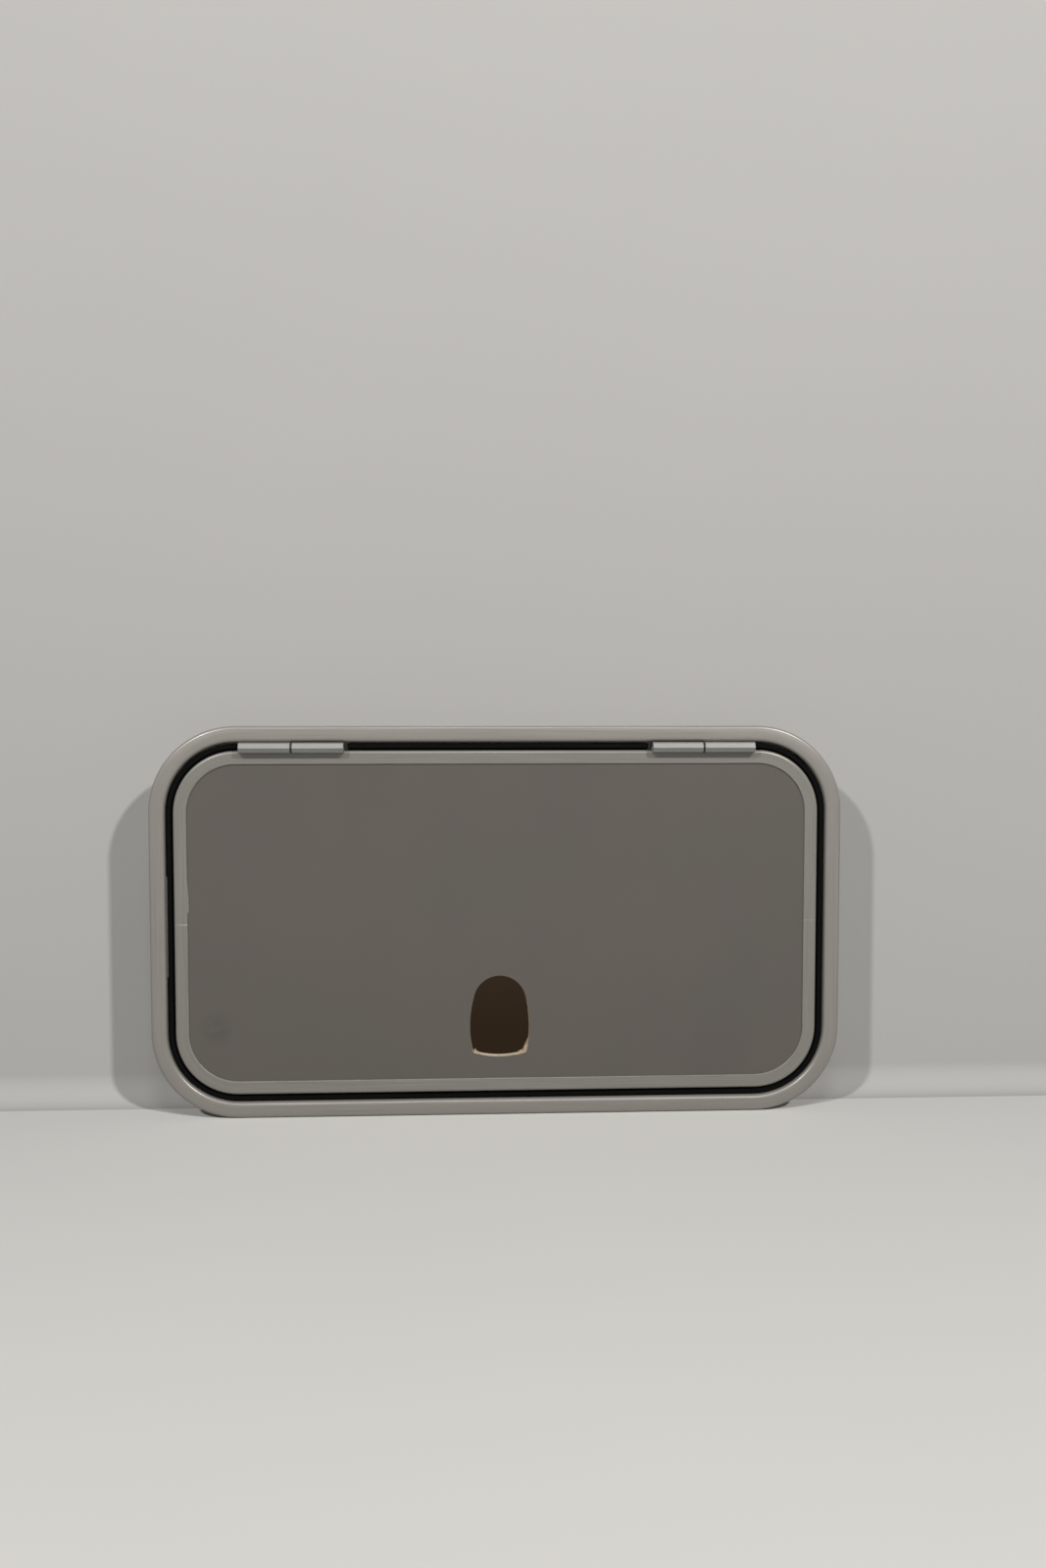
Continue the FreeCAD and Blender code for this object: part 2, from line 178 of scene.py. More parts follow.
# arrises lightened towards bare metal, found from the rounded normal: partly real wear, partly a painted highlight
# standing in for the lamps' glint on rounded edges
def makeEdgeWear():
    number, vector = "NodeSocketFloat", "NodeSocketVector"
    tree, given, out = startGroup("edgeWear", {"Place": vector, "Radius": number, "Breakup": number}, ["Wear"])
    rounded = put(tree, "ShaderNodeBevel", {"Radius": given["Radius"]}, samples=4).outputs[0]
    plain = put(tree, "ShaderNodeNewGeometry").outputs["Normal"]
    along = put(tree, "ShaderNodeVectorMath", {0: rounded, 1: plain}, operation="DOT_PRODUCT").outputs["Value"]
    arris = remap(tree, along, 0.985, 0.86)
    patchy = remap(tree, noise(tree, given["Place"], given["Breakup"], 4.0, 0.6), 0.38, 0.62)
    tree.links.new(times(tree, arris, patchy), out["Wear"])
    return tree


# wiped smears, settled dust and a fine grain
def makeHandling():
    tree, given, out = startGroup("handling", {"Place": "NodeSocketVector"}, ["Smear", "Dust", "Grain"])
    wide = noise(tree, stretch(tree, given["Place"], (7.0, 7.0, 3.5)), 1.0, 4.0, 0.55)
    tree.links.new(remap(tree, wide, 0.45, 0.75), out["Smear"])
    specks = noise(tree, given["Place"], 900.0, 1.0, 0.4)
    patches = remap(tree, noise(tree, given["Place"], 22.0, 3.0, 0.6), 0.5, 0.75)
    tree.links.new(times(tree, remap(tree, specks, 0.62, 0.72), patches), out["Dust"])
    tree.links.new(noise(tree, given["Place"], 2600.0, 2.0, 0.6), out["Grain"])
    return tree


dieLines = makeDieLines()
edgeWear = makeEdgeWear()
handling = makeHandling()
print("finish groups made")

doorLow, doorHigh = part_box("door_frame_lower")[0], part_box("door_frame_upper")[1]
doorMiddle = (doorLow.z + doorHigh.z) / 2
doorHalfWidth = (doorHigh.x - doorLow.x) / 2
doorHalfHeight = (doorHigh.z - doorLow.z) / 2
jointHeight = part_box("door_frame_upper")[0].z
doorCorner = 0.0632


def ringLines(tree, place, fineness):
    return useGroup(tree, dieLines, {"Place": place, "Half Width": doorHalfWidth, "Half Height": doorHalfHeight,
                                     "Middle": doorMiddle, "Corner": doorCorner, "Fineness": fineness})


# bare: the colour that rounded edges are lightened to, partly real wear and partly painted highlight
frameFinish = {"pale": (0.329, 0.313, 0.288, 1), "deep": (0.260, 0.246, 0.225, 1),
               "bare": (0.62, 0.61, 0.58, 1), "dust": (0.20, 0.185, 0.16, 1),
               "metallic": 0.30, "smooth": 0.30, "rough": 0.44, "lines": 2600.0,
               "edgeWearAndHighlightSettings": {"Radius": 0.0006, "Breakup": 60.0}, "relief": (0.12, 0.0002)}
doorFinish = {"pale": (0.286, 0.273, 0.251, 1), "deep": (0.224, 0.212, 0.195, 1),
              "bare": (0.62, 0.61, 0.58, 1), "dust": (0.18, 0.165, 0.145, 1),
              "metallic": 0.30, "smooth": 0.26, "rough": 0.40, "lines": 2600.0,
              "edgeWearAndHighlightSettings": {"Radius": 0.0006, "Breakup": 60.0}, "relief": (0.12, 0.0002)}
# the bright joint of the door's two channels: stronger on the left and towards the panel
jointMark = {"seam": (0.0006, 0.00025), "leftSide": (0.1, -0.1, 0.3, 1.0), "innerEnd": (-0.002, -0.013, 0.12, 0.75)}


def anodised(name, finish, jointLine=False):
    material, tree, shader, place = startMaterial(name)
    lines = ringLines(tree, place, finish["lines"])
    edgeWearAndHighlightMask = useGroup(tree, edgeWear, {"Place": place, **finish["edgeWearAndHighlightSettings"]})
    marks = useGroup(tree, handling, {"Place": place})
    colour = mixColour(tree, spread(tree, lines["Lines"]), finish["deep"], finish["pale"])
    colour = stain(tree, colour, marks["Smear"], 0.25, finish["deep"])
    colour = stain(tree, colour, marks["Dust"], 0.5, finish["dust"])
    # painted highlight with real wear: rounded edges lightened towards bare metal
    colour = stain(tree, colour, edgeWearAndHighlightMask["Wear"], 0.6, finish["bare"])
    height = maths(tree, "ADD", times(tree, lines["Lines"], 0.7), times(tree, marks["Grain"], 0.3))
    if jointLine:
        axes = splitAxes(tree, place)
        off = maths(tree, "ABSOLUTE", maths(tree, "SUBTRACT", axes[2], jointHeight))
        seam = remap(tree, off, *jointMark["seam"])
        leftSide = remap(tree, axes[0], *jointMark["leftSide"])
        innerEnd = remap(tree, lines["Across"], *jointMark["innerEnd"])
        colour = mixColour(tree, times(tree, times(tree, seam, leftSide), innerEnd), colour, finish["bare"])
        height = maths(tree, "SUBTRACT", height, seam)
    feed(tree, shader, {"Base Color": colour, "Metallic": finish["metallic"],
                        "Roughness": spread(tree, lines["Lines"], finish["smooth"], finish["rough"]),
                        "Normal": bump(tree, height, finish["relief"]).outputs[0]})
    return material


# bare: the colour that the hinge's edges and ridge are lightened to, partly real wear and partly painted highlight
hingeFinish = {"pale": (0.286, 0.282, 0.272, 1), "deep": (0.231, 0.228, 0.218, 1), "bare": (0.66, 0.65, 0.63, 1),
               "metallic": 0.36, "smooth": 0.36, "rough": 0.48, "brushed": (60.0, 5200.0, 5200.0),
               "edgeWearAndHighlightSettings": {"Radius": 0.0004, "Breakup": 420.0}, "relief": (0.05, 0.0002), "flats": (0.35, 0.5)}


def satinHinge():
    finish = hingeFinish
    material, tree, shader, place = startMaterial("satinHinge")
    brushed = noise(tree, stretch(tree, place, finish["brushed"]), 1.0, 3.0, 0.6)
    edgeWearAndHighlightMask = useGroup(tree, edgeWear, {"Place": place, **finish["edgeWearAndHighlightSettings"]})
    marks = useGroup(tree, handling, {"Place": place})
    colour = mixColour(tree, spread(tree, brushed), finish["deep"], finish["pale"])
    colour = stain(tree, colour, marks["Smear"], 0.2, finish["deep"])
    # painted highlight with real wear: the barrel's edges and ridge lightened towards bare metal
    colour = stain(tree, colour, edgeWearAndHighlightMask["Wear"], 0.5, finish["bare"])
    # the barrel's front flats are shaded flat, its round back smooth
    shapeOf = put(tree, "ShaderNodeNewGeometry").outputs
    facing = maths(tree, "ABSOLUTE", splitAxes(tree, shapeOf["True Normal"])[1])
    flats = remap(tree, facing, *finish["flats"])
    normal = put(tree, "ShaderNodeMix", {0: flats, 4: shapeOf["Normal"], 5: shapeOf["True Normal"]},
                 data_type="VECTOR").outputs[1]
    relief = bump(tree, brushed, finish["relief"])
    feed(tree, relief, {"Normal": normal})
    feed(tree, shader, {"Base Color": colour, "Metallic": finish["metallic"],
                        "Roughness": spread(tree, brushed, finish["smooth"], finish["rough"]),
                        "Normal": relief.outputs[0]})
    return material


skinFinish = {"tone": (0.094, 0.084, 0.072, 1), "warm": (0.102, 0.087, 0.077, 1),
              "smear": (0.083, 0.074, 0.067, 1), "bare": (0.50, 0.49, 0.47, 1),
              "smudge": (0.074, 0.067, 0.060, 1), "smudgeAt": (-0.286, -0.006, 0.0914), "smudgeReach": (0.024, 0.005),
              "smooth": 0.30, "rough": 0.44, "dulled": 0.12, "gloss": 0.8, "relief": (0.08, 0.0002)}


def satinPanel():
    finish = skinFinish
    material, tree, shader, place = startMaterial("satinPanel")
    marks = useGroup(tree, handling, {"Place": place})
    clouds = remap(tree, noise(tree, stretch(tree, place, (5.0, 1.0, 6.0)), 1.0, 3.0, 0.5), 0.35, 0.65)
    colour = mixColour(tree, clouds, finish["tone"], finish["warm"])
    colour = stain(tree, colour, marks["Smear"], 0.5, finish["smear"])
    # thumbed patch low on the left
    away = put(tree, "ShaderNodeVectorMath", {0: place, 1: finish["smudgeAt"]}, operation="DISTANCE")
    patch = remap(tree, away.outputs["Value"], *finish["smudgeReach"])
    smudge = times(tree, patch, remap(tree, noise(tree, place, 75.0, 4.0, 0.6), 0.30, 0.55))
    colour = mixColour(tree, smudge, colour, finish["smudge"])
    # bare metal on the sheet's cut edge
    facing = splitAxes(tree, put(tree, "ShaderNodeNewGeometry").outputs["Normal"])[1]
    cutEdge = remap(tree, maths(tree, "ABSOLUTE", facing), 0.7, 0.4)
    colour = mixColour(tree, cutEdge, colour, finish["bare"])
    sheen = maths(tree, "ADD", spread(tree, marks["Grain"], finish["smooth"], finish["rough"]),
                  times(tree, smudge, finish["dulled"]))
    peel = maths(tree, "ADD", times(tree, noise(tree, place, 700.0, 2.0, 0.5), 0.6),
                 times(tree, marks["Grain"], 0.4))
    feed(tree, shader, {"Base Color": colour, "Metallic": times(tree, cutEdge, 0.8), "Roughness": sheen,
                        "Normal": bump(tree, peel, finish["relief"]).outputs[0],
                        "Specular IOR Level": finish["gloss"]})
    return material


sealFinish = {"black": (0.0022, 0.0022, 0.0024, 1), "edgeWearAndHighlightMask": (0.0042, 0.0042, 0.0042, 1),
              "dust": (0.020, 0.019, 0.018, 1), "smooth": 0.34, "rough": 0.56, "gloss": 0.06,
              "lines": 1500.0, "relief": (0.15, 0.0003)}


def sealRubber():
    finish = sealFinish
    material, tree, shader, place = startMaterial("sealRubber")
    lines = ringLines(tree, place, finish["lines"])
    marks = useGroup(tree, handling, {"Place": place})
    colour = mixColour(tree, remap(tree, lines["Lines"], 0.35, 0.7), finish["black"], finish["edgeWearAndHighlightMask"])
    colour = stain(tree, colour, marks["Dust"], 0.6, finish["dust"])
    height = maths(tree, "ADD", lines["Lines"], times(tree, marks["Grain"], 0.5))
    feed(tree, shader, {"Base Color": colour, "Specular IOR Level": finish["gloss"],
                        "Roughness": spread(tree, lines["Lines"], finish["smooth"], finish["rough"]),
                        "Normal": bump(tree, height, finish["relief"]).outputs[0]})
    return material


coreFinish = {"pale": (0.56, 0.46, 0.335, 1), "tan": (0.40, 0.30, 0.175, 1), "glue": (0.19, 0.125, 0.065, 1),
              "fibre": (130.0, 2200.0, 130.0), "plyMm": 1.3, "glueLine": (0.22, 0.02, 0.0, 0.7),
              "blotch": (0.5, 0.72, 0.0, 0.45), "smooth": 0.62, "rough": 0.85, "relief": (0.5, 0.0006)}


def plywoodCore():
    finish = coreFinish
    material, tree, shader, place = startMaterial("plywoodCore")
    fibre = noise(tree, stretch(tree, place, finish["fibre"]), 1.0, 5.0, 0.65)
    depthMm = times(tree, splitAxes(tree, place)[1], 1000.0)
    ply = maths(tree, "PINGPONG", depthMm, finish["plyMm"])
    colour = mixColour(tree, spread(tree, fibre), finish["tan"], finish["pale"])
    colour = mixColour(tree, remap(tree, ply, *finish["glueLine"]), colour, finish["glue"])
    blotch = remap(tree, noise(tree, place, 90.0, 3.0, 0.6), *finish["blotch"])
    colour = mixColour(tree, blotch, colour, finish["glue"])
    feed(tree, shader, {"Base Color": colour, "Roughness": spread(tree, fibre, finish["smooth"], finish["rough"]),
                        "Normal": bump(tree, fibre, finish["relief"]).outputs[0]})
    return material


liningFinish = {"pale": (0.56, 0.55, 0.52, 1), "deep": (0.49, 0.48, 0.45, 1), "dust": (0.33, 0.30, 0.26, 1),
                "rolled": (9.0, 9.0, 420.0), "smooth": 0.42, "rough": 0.56, "relief": (0.08, 0.0002)}


def liningSheet():
    finish = liningFinish
    material, tree, shader, place = startMaterial("liningSheet")
    marks = useGroup(tree, handling, {"Place": place})
    rolled = noise(tree, stretch(tree, place, finish["rolled"]), 1.0, 3.0, 0.55)
    colour = mixColour(tree, spread(tree, rolled), finish["deep"], finish["pale"])
    colour = stain(tree, colour, marks["Smear"], 0.5, finish["deep"])
    colour = stain(tree, colour, marks["Dust"], 0.6, finish["dust"])
    feed(tree, shader, {"Base Color": colour, "Roughness": spread(tree, rolled, finish["smooth"], finish["rough"]),
                        "Normal": bump(tree, marks["Grain"], finish["relief"]).outputs[0]})
    return material


pinFinish = {"pale": (0.55, 0.55, 0.54, 1), "deep": (0.36, 0.36, 0.35, 1), "metallic": 1.0,
             "drawn": (20.0, 4000.0, 4000.0), "smooth": 0.22, "rough": 0.40, "relief": (0.1, 0.0001)}


def drawnSteel():
    finish = pinFinish
    material, tree, shader, place = startMaterial("drawnSteel")
    drawn = noise(tree, stretch(tree, place, finish["drawn"]), 1.0, 4.0, 0.6)
    feed(tree, shader, {"Base Color": mixColour(tree, spread(tree, drawn), finish["deep"], finish["pale"]),
                        "Metallic": finish["metallic"],
                        "Roughness": spread(tree, drawn, finish["smooth"], finish["rough"]),
                        "Normal": bump(tree, drawn, finish["relief"]).outputs[0]})
    return material


washerFinish = {"pale": (0.012, 0.012, 0.012, 1), "deep": (0.006, 0.006, 0.006, 1), "metallic": 0.0,
                "smooth": 0.40, "rough": 0.60, "relief": (0.2, 0.0002)}
stripFinish = {"pale": (0.175, 0.168, 0.156, 1), "deep": (0.130, 0.125, 0.116, 1), "metallic": 0.4,
               "smooth": 0.40, "rough": 0.60, "relief": (0.2, 0.0002)}


def dullGrain(name, finish):
    material, tree, shader, place = startMaterial(name)
    marks = useGroup(tree, handling, {"Place": place})
    mottle = noise(tree, place, 240.0, 4.0, 0.6)
    feed(tree, shader, {"Base Color": mixColour(tree, spread(tree, mottle), finish["deep"], finish["pale"]),
                        "Metallic": finish["metallic"],
                        "Roughness": spread(tree, marks["Grain"], finish["smooth"], finish["rough"]),
                        "Normal": bump(tree, marks["Grain"], finish["relief"]).outputs[0]})
    return material


frameMetal = anodised("frameMetal", frameFinish)
doorMetal = anodised("doorMetal", doorFinish, jointLine=True)
hingeMetal = satinHinge()
panelPaint = satinPanel()
rubber = sealRubber()
wood = plywoodCore()
lining = liningSheet()
pinMetal = drawnSteel()
washerPlastic = dullGrain("washerPlastic", washerFinish)
stripMetal = dullGrain("stripMetal", stripFinish)

nodeFinishes = {
    "outer_frame": frameMetal, "frame_joint_strip": stripMetal, "seal_surround": rubber, "seal_top": rubber,
    "hinge_frame_half_left": hingeMetal, "hinge_frame_half_right": hingeMetal,
    "hinge_door_half_left": hingeMetal, "hinge_door_half_right": hingeMetal,
    "hinge_pin_left": pinMetal, "hinge_pin_right": pinMetal,
    "hinge_washer_left": washerPlastic, "hinge_washer_right": washerPlastic,
    "door_frame_upper": doorMetal, "door_frame_lower": doorMetal,
    "outer_skin": panelPaint, "panel_core": wood, "inner_skin": lining,
}
for name, material in nodeFinishes.items():
    nodes[name].data.materials.clear()
    nodes[name].data.materials.append(material)
print("finishes on", len(nodeFinishes), "nodes")


def addThing(name, shape, material):
    mesh = bpy.data.meshes.new(name)
    shape.to_mesh(mesh)
    shape.free()
    mesh.materials.append(material)
    thing = bpy.data.objects.new(name, mesh)
    scene.collection.objects.link(thing)
    return thing


def addPiece(name, shape, material, body):
    piece = addThing(name, shape, material)
    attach(piece, body)
    return piece


def newVerts(grown):
    return [part for part in grown["geom"] if isinstance(part, bmesh.types.BMVert)]


def inOrder(verts):
    # operators give vertices in no fixed order, so random draws go by place, the same each run
    return sorted(verts, key=lambda vert: [round(vert.co[axis], 6) for axis in (0, 2, 1)])


# torn wood along the foot and the right side of the lock cut-out, with a chip left in each lower corner
lockCut = {"half": 0.04, "belowMiddle": 0.04, "aboveFoot": 0.02}  # where to look for the cut-out's edge
frayed = {"inset": 0.0006, "depth": 0.0062, "step": 0.0007, "low": 0.00005, "high": 0.0004,
          "from": -132.0, "to": 40.0, "seat": 0.0002, "lean": (-0.0004, 0.0012), "longest": 0.004, "cuts": 3,
          "shake": 0.00012,
          "chips": [{"at": (-0.0284, 0.0635), "reach": 0.0080, "rise": 0.0042},
                    {"at": (0.0292, 0.0645), "reach": 0.0120, "rise": 0.0042}]}


def cutOutline(node):
    # the cut-out's corners on the node's front face, in order round its middle
    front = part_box(node)[0].y
    foot, head = doorLow.z + lockCut["aboveFoot"], doorMiddle - lockCut["belowMiddle"]
    near = {(round(vert.co.x, 6), round(vert.co.z, 6)) for vert in nodes[node].data.vertices
            if abs(vert.co.x) < lockCut["half"] and foot < vert.co.z < head and abs(vert.co.y - front) < 1e-5}
    middle = Vector((sum(x for x, z in near) / len(near), sum(z for x, z in near) / len(near)))
    ring = sorted((math.degrees(math.atan2(z - middle.y, x - middle.x)), Vector((x, z))) for x, z in near)
    return middle, ring


def evenPoints(points, step):
    spots = [points[0]]
    for end in points[1:]:
        start = spots[-1]
        count = max(1, round((end - start).length / step))
        spots += [start.lerp(end, (number + 1) / count) for number in range(count)]
    return spots


def frayedEdge():
    chance = random.Random(7)
    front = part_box("panel_core")[0].y + frayed["inset"]
    middle, ring = cutOutline("panel_core")
    line = evenPoints([spot for turn, spot in ring if frayed["from"] < turn < frayed["to"]], frayed["step"])
    shape = bmesh.new()
    rim = [shape.verts.new((spot.x, front, spot.y)) for spot in line]
    for first, second in zip(rim, rim[1:]):
        shape.edges.new((first, second))
    inner = newVerts(bmesh.ops.extrude_edge_only(shape, edges=shape.edges[:]))
    for vert in rim:
        away = (Vector((vert.co.x, vert.co.z)) - middle).normalized() * frayed["seat"]
        vert.co += Vector((away.x, 0, away.y))
    for vert in inOrder(inner):
        spot = Vector((vert.co.x, vert.co.z))
        rise = chance.uniform(frayed["low"], frayed["high"])
        for chip in frayed["chips"]:
            share = max(0.0, 1.0 - (spot - Vector(chip["at"])).length / chip["reach"])
            rise += chip["rise"] * share * chance.uniform(0.75, 1.0)
        inward = (middle - spot).normalized() * rise
        vert.co += Vector((inward.x, chance.uniform(*frayed["lean"]), inward.y))
    rear = newVerts(bmesh.ops.extrude_face_region(shape, geom=shape.faces[:]))
    bmesh.ops.translate(shape, verts=rear, vec=(0, frayed["depth"], 0))
    long = [edge for edge in shape.edges if edge.calc_length() > frayed["longest"]]
    bmesh.ops.subdivide_edges(shape, edges=long, cuts=frayed["cuts"])
    for vert in inOrder(shape.verts):
        shake = Vector((chance.uniform(-1, 1), chance.uniform(-1, 1), chance.uniform(-1, 1)))
        vert.co += shake * frayed["shake"]
    bmesh.ops.recalc_face_normals(shape, faces=shape.faces[:])
    addPiece("torn_wood_edge", shape, wood, "door")


# flat rivets through the hinge leaves
rivet = {"radius": 0.0028, "rise": 0.00045, "dimple": 0.0011, "count": 3, "inFromEnd": 0.009, "steps": 20}
leaf = {"thick": 0.0025, "gap": 0.00835, "frameDepth": 0.0012, "doorDepth": -0.0014}


def rivetHead(shape, place, up):
    # half a section, in shares of the radius and the rise
    section = [(0.0, -0.5), (1.0, -0.5), (1.0, 0.25), (0.84, 1.0), (rivet["dimple"] / rivet["radius"], 1.0),
               (0.28, 0.45), (0.0, 0.35)]
    line = [shape.verts.new(place + Vector((out * rivet["radius"], 0, up * high * rivet["rise"])))
            for out, high in section]
    joins = [shape.edges.new(pair) for pair in zip(line, line[1:])]
    bmesh.ops.spin(shape, geom=line + joins, cent=place, axis=(0, 0, 1), angle=math.tau, steps=rivet["steps"],
                   use_merge=True)


def leafRivets(name, sides, body, height, depth, up):
    shape = bmesh.new()
    for side in sides:
        low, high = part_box(side)
        first, last = low.x + rivet["inFromEnd"], high.x - rivet["inFromEnd"]
        for number in range(rivet["count"]):
            across = first + (last - first) * number / (rivet["count"] - 1)
            rivetHead(shape, Vector((across, depth, height)), up)
    bmesh.ops.remove_doubles(shape, verts=shape.verts[:], dist=1e-6)
    bmesh.ops.recalc_face_normals(shape, faces=shape.faces[:])
    for face in shape.faces:
        face.smooth = True
    addPiece(name, shape, hingeMetal, body)


# the cover strip on the frame's joint, with its edges eased
coverStrip = {"ease": 0.00035, "segments": 3}


def jointCover():
    low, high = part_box("frame_joint_strip")
    shape = bmesh.new()
    place = Matrix.Translation((low + high) / 2) @ Matrix.Diagonal((*(high - low), 1.0))
    bmesh.ops.create_cube(shape, size=1.0, matrix=place)
    bmesh.ops.bevel(shape, geom=shape.edges[:], offset=coverStrip["ease"], offset_type="OFFSET", affect="EDGES",
                    segments=coverStrip["segments"], profile=0.5, material=-1)
    cover = addPiece("joint_cover_strip", shape, stripMetal, "frame")
    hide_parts("frame_joint_strip")


stage = {"floor": (0.72, 0.715, 0.695, 1), "bounce": (0.34, 0.335, 0.325, 1), "wall": (0.485, 0.480, 0.470, 1),
         "shade": 0.97, "floorRough": 0.8, "wallRough": 0.85, "gloss": 0.1,
         "wallAt": 0.062, "bend": 0.03, "bendSteps": 16, "half": 4.0, "height": 4.0, "clear": 0.0001}


def seenRays(tree):
    # rays that show the stage: straight from the camera, mirrored or through something clear
    path = put(tree, "ShaderNodeLightPath").outputs
    mirrored = maths(tree, "MAXIMUM", path["Is Glossy Ray"], path["Is Transmission Ray"])
    return maths(tree, "MAXIMUM", path["Is Camera Ray"], mirrored)


def frontOnly(tree, surface):
    # a card that is hidden from behind and lets light through
    path = put(tree, "ShaderNodeLightPath").outputs
    behind = put(tree, "ShaderNodeNewGeometry").outputs["Backfacing"]
    skip = maths(tree, "MAXIMUM", behind, maths(tree, "MAXIMUM", path["Is Shadow Ray"], path["Is Diffuse Ray"]))
    clear = put(tree, "ShaderNodeBsdfTransparent").outputs[0]
    mixed = put(tree, "ShaderNodeMixShader", {0: skip, 1: surface, 2: clear}).outputs[0]
    tree.links.new(mixed, tree.nodes["Material Output"].inputs["Surface"])


def mottled(tree, place, colour):
    deep = tuple(stage["shade"] * part for part in colour[:3]) + (1,)
    return mixColour(tree, noise(tree, place, 3.0, 3.0, 0.5), deep, colour)


def stageFloor():
    shape = bmesh.new()
    bmesh.ops.create_grid(shape, x_segments=1, y_segments=1, size=stage["half"],
                          matrix=Matrix.Translation((0, 0, cadBox[0][2] - stage["clear"])))
    material, tree, shader, place = startMaterial("paleFloor")
    # less light comes back from the floor than shows on it
    colour = mixColour(tree, seenRays(tree), stage["bounce"], mottled(tree, place, stage["floor"]))
    feed(tree, shader, {"Base Color": colour, "Roughness": stage["floorRough"], "Specular IOR Level": stage["gloss"]})
    floor = addThing("floor", shape, material)
    floor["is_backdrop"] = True


def stageWall():
    # a bent sheet of pale card, seen from its front alone
    shape = bmesh.new()
    foot, front = cadBox[0][2] + stage["clear"], stage["wallAt"] - stage["bend"]
    start = shape.verts.new((-stage["half"], front, foot))
    bmesh.ops.spin(shape, geom=[start], cent=(0, front, foot + stage["bend"]), axis=(1, 0, 0),
                   angle=math.radians(90), steps=stage["bendSteps"])
    top = max(shape.verts, key=lambda vert: vert.co.z)
    grown = bmesh.ops.extrude_vert_indiv(shape, verts=[top])["verts"]
    bmesh.ops.translate(shape, verts=grown, vec=(0, 0, stage["height"]))
    side = newVerts(bmesh.ops.extrude_edge_only(shape, edges=shape.edges[:]))
    bmesh.ops.translate(shape, verts=side, vec=(2 * stage["half"], 0, 0))
    if sum(face.normal.y * face.calc_area() for face in shape.faces) > 0:
        bmesh.ops.reverse_faces(shape, faces=shape.faces[:])
    for face in shape.faces:
        face.smooth = True
    material, tree, shader, place = startMaterial("paleCard")
    feed(tree, shader, {"Base Color": mottled(tree, place, stage["wall"]), "Roughness": stage["wallRough"],
                        "Specular IOR Level": stage["gloss"]})
    frontOnly(tree, shader.outputs[0])
    wall = addThing("backdrop", shape, material)
    wall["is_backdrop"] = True


# painted shade: a faint dark-brown glow in place of the shadow behind the hatch
paintedShadeCard = {"pale": (0.038, 0.0255, 0.0165, 1), "deep": (0.027, 0.0165, 0.0098, 1), "fadeFrom": 0.03,
          "margin": 0.0092, "behind": 0.0002, "segments": 10}


def stagePaintedShadeCard():
    # painted shade behind the opening: a rounded card on the collar's back that glows dark brown in place of the
    # shadowed space behind the hatch, seen from its front alone
    halfWidth, halfHeight = doorHalfWidth + paintedShadeCard["margin"], doorHalfHeight + paintedShadeCard["margin"]
    place = (Matrix.Translation((0, cadBox[1][1] + paintedShadeCard["behind"], doorMiddle))
             @ Matrix.Rotation(math.radians(90), 4, "X") @ Matrix.Diagonal((halfWidth, halfHeight, 1.0, 1.0)))
    shape = bmesh.new()
    bmesh.ops.create_grid(shape, x_segments=1, y_segments=1, size=1.0, matrix=place)
    bmesh.ops.bevel(shape, geom=shape.verts[:], offset=doorCorner + paintedShadeCard["margin"], offset_type="OFFSET",
                    affect="VERTICES", segments=paintedShadeCard["segments"], profile=0.5, material=-1)
    material, tree, shader, place = startMaterial("paintedShadeGlow")
    tree.nodes.remove(shader)  # the card only glows faintly, a painted shade that the lamps do not light
    # painted shade, deeper towards the foot of the opening
    tone = remap(tree, splitAxes(tree, place)[2], doorLow.z + paintedShadeCard["fadeFrom"], doorMiddle)
    colour = mixColour(tree, tone, paintedShadeCard["deep"], paintedShadeCard["pale"])
    frontOnly(tree, put(tree, "ShaderNodeEmission", {"Color": colour, "Strength": 1.0}).outputs[0])
    card = addThing("paintedShadeCard", shape, material)
    card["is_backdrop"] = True


studio = {"lit": 0.08, "seen": 0.50, "white": (1, 1, 1, 1)}


def stageWorld():
    world = bpy.data.worlds.new("studio")
    world.use_nodes = True
    scene.world = world
    tree = world.node_tree
    light = tree.nodes["Background"]
    feed(tree, light, {"Color": studio["white"], "Strength": studio["lit"]})
    pale = put(tree, "ShaderNodeBackground", {"Color": studio["white"], "Strength": studio["seen"]})
    both = put(tree, "ShaderNodeMixShader", {0: seenRays(tree), 1: light.outputs[0], 2: pale.outputs[0]})
    tree.links.new(both.outputs[0], tree.nodes["World Output"].inputs["Surface"])


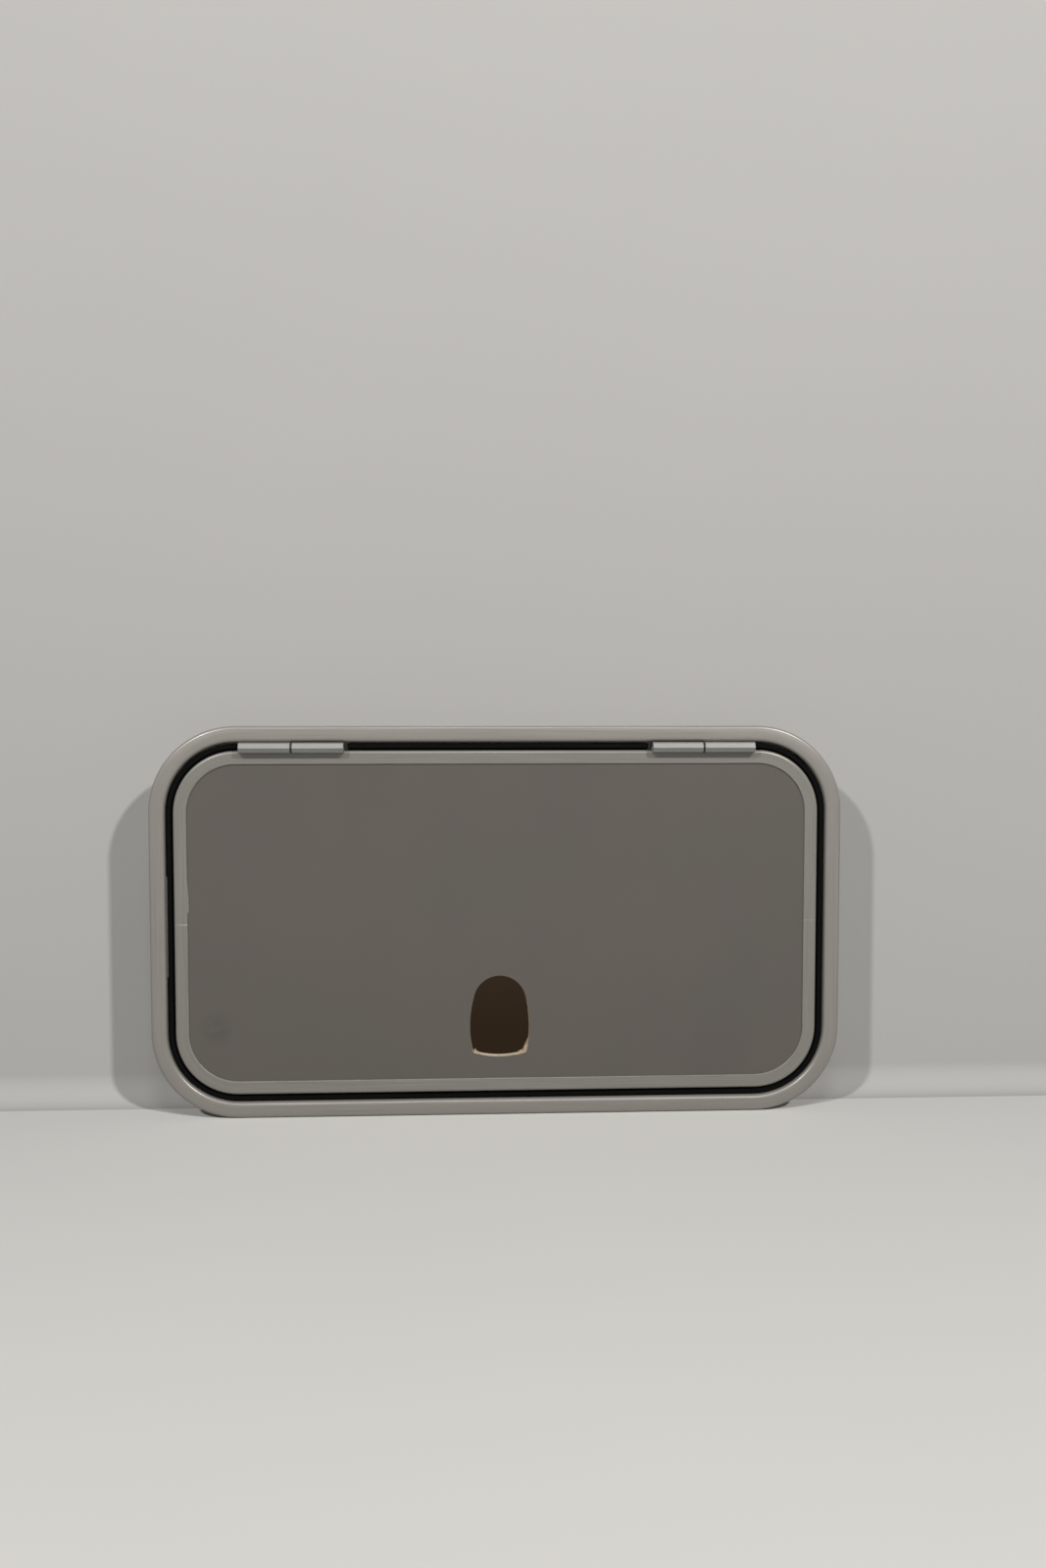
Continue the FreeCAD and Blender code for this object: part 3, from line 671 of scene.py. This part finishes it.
lampTint = (1.0, 0.985, 0.96)
lamps = {
    "lampLeft": {"place": (-2.2, -3.0, 2.85), "size": 0.20, "power": 88.0},
    "lampRight": {"place": (2.2, -3.0, 2.85), "size": 0.20, "power": 110.0},
    "lampTop": {"place": (0.0, -1.9, 2.6), "size": 0.6, "power": 12.0},
    "lampBack": {"place": (0.3, 2.4, 1.6), "size": 1.6, "power": 40.0, "partOnly": True},
}


def hangLamps():
    middle = Vector((0, 0, doorMiddle))
    for name, lamp in lamps.items():
        data = bpy.data.lights.new(name, "AREA")
        data.shape = "SQUARE"
        data.size = lamp["size"]
        data.energy = lamp["power"]
        data.color = lampTint
        thing = bpy.data.objects.new(name, data)
        thing.location = lamp["place"]
        thing.rotation_euler = (middle - Vector(lamp["place"])).to_track_quat("-Z", "Y").to_euler()
        scene.collection.objects.link(thing)
        if lamp.get("partOnly"):  # lights the hatch, not the stage
            hatch = bpy.data.collections.new("hatchPieces")
            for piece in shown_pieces():
                hatch.objects.link(piece)
            thing.light_linking.receiver_collection = hatch


camera = {"place": (-0.0486, -1.3976, 0.4189), "right": (0.99862, -0.0525, -0.00003),
          "up": (0.00303, 0.05704, 0.99837), "lens": 31.5, "sensor": 36.0, "near": 0.05, "far": 40.0}


def setCamera():
    data = bpy.data.cameras.new("camera")
    data.lens = camera["lens"]
    data.sensor_width = camera["sensor"]
    data.clip_start = camera["near"]
    data.clip_end = camera["far"]
    eye = bpy.data.objects.new("camera", data)
    right = Vector(camera["right"]).normalized()
    back = right.cross(Vector(camera["up"])).normalized()
    up = back.cross(right)
    turn = Matrix((right, up, back)).transposed()
    eye.matrix_world = Matrix.Translation(camera["place"]) @ turn.to_4x4()
    scene.collection.objects.link(eye)
    scene.camera = eye


frayedEdge()
print("torn edge made")
leafRivets("frame_leaf_rivets", ["hinge_frame_half_left", "hinge_frame_half_right"], "frame",
           doorHigh.z + leaf["gap"] - leaf["thick"], leaf["frameDepth"], -1)
leafRivets("door_leaf_rivets", ["hinge_door_half_left", "hinge_door_half_right"], "door",
           doorHigh.z + leaf["thick"], leaf["doorDepth"], 1)
print("rivets made")
jointCover()
print("joint cover made")
stageFloor()
stageWall()
stagePaintedShadeCard()
stageWorld()
hangLamps()
setCamera()
print("stage set")
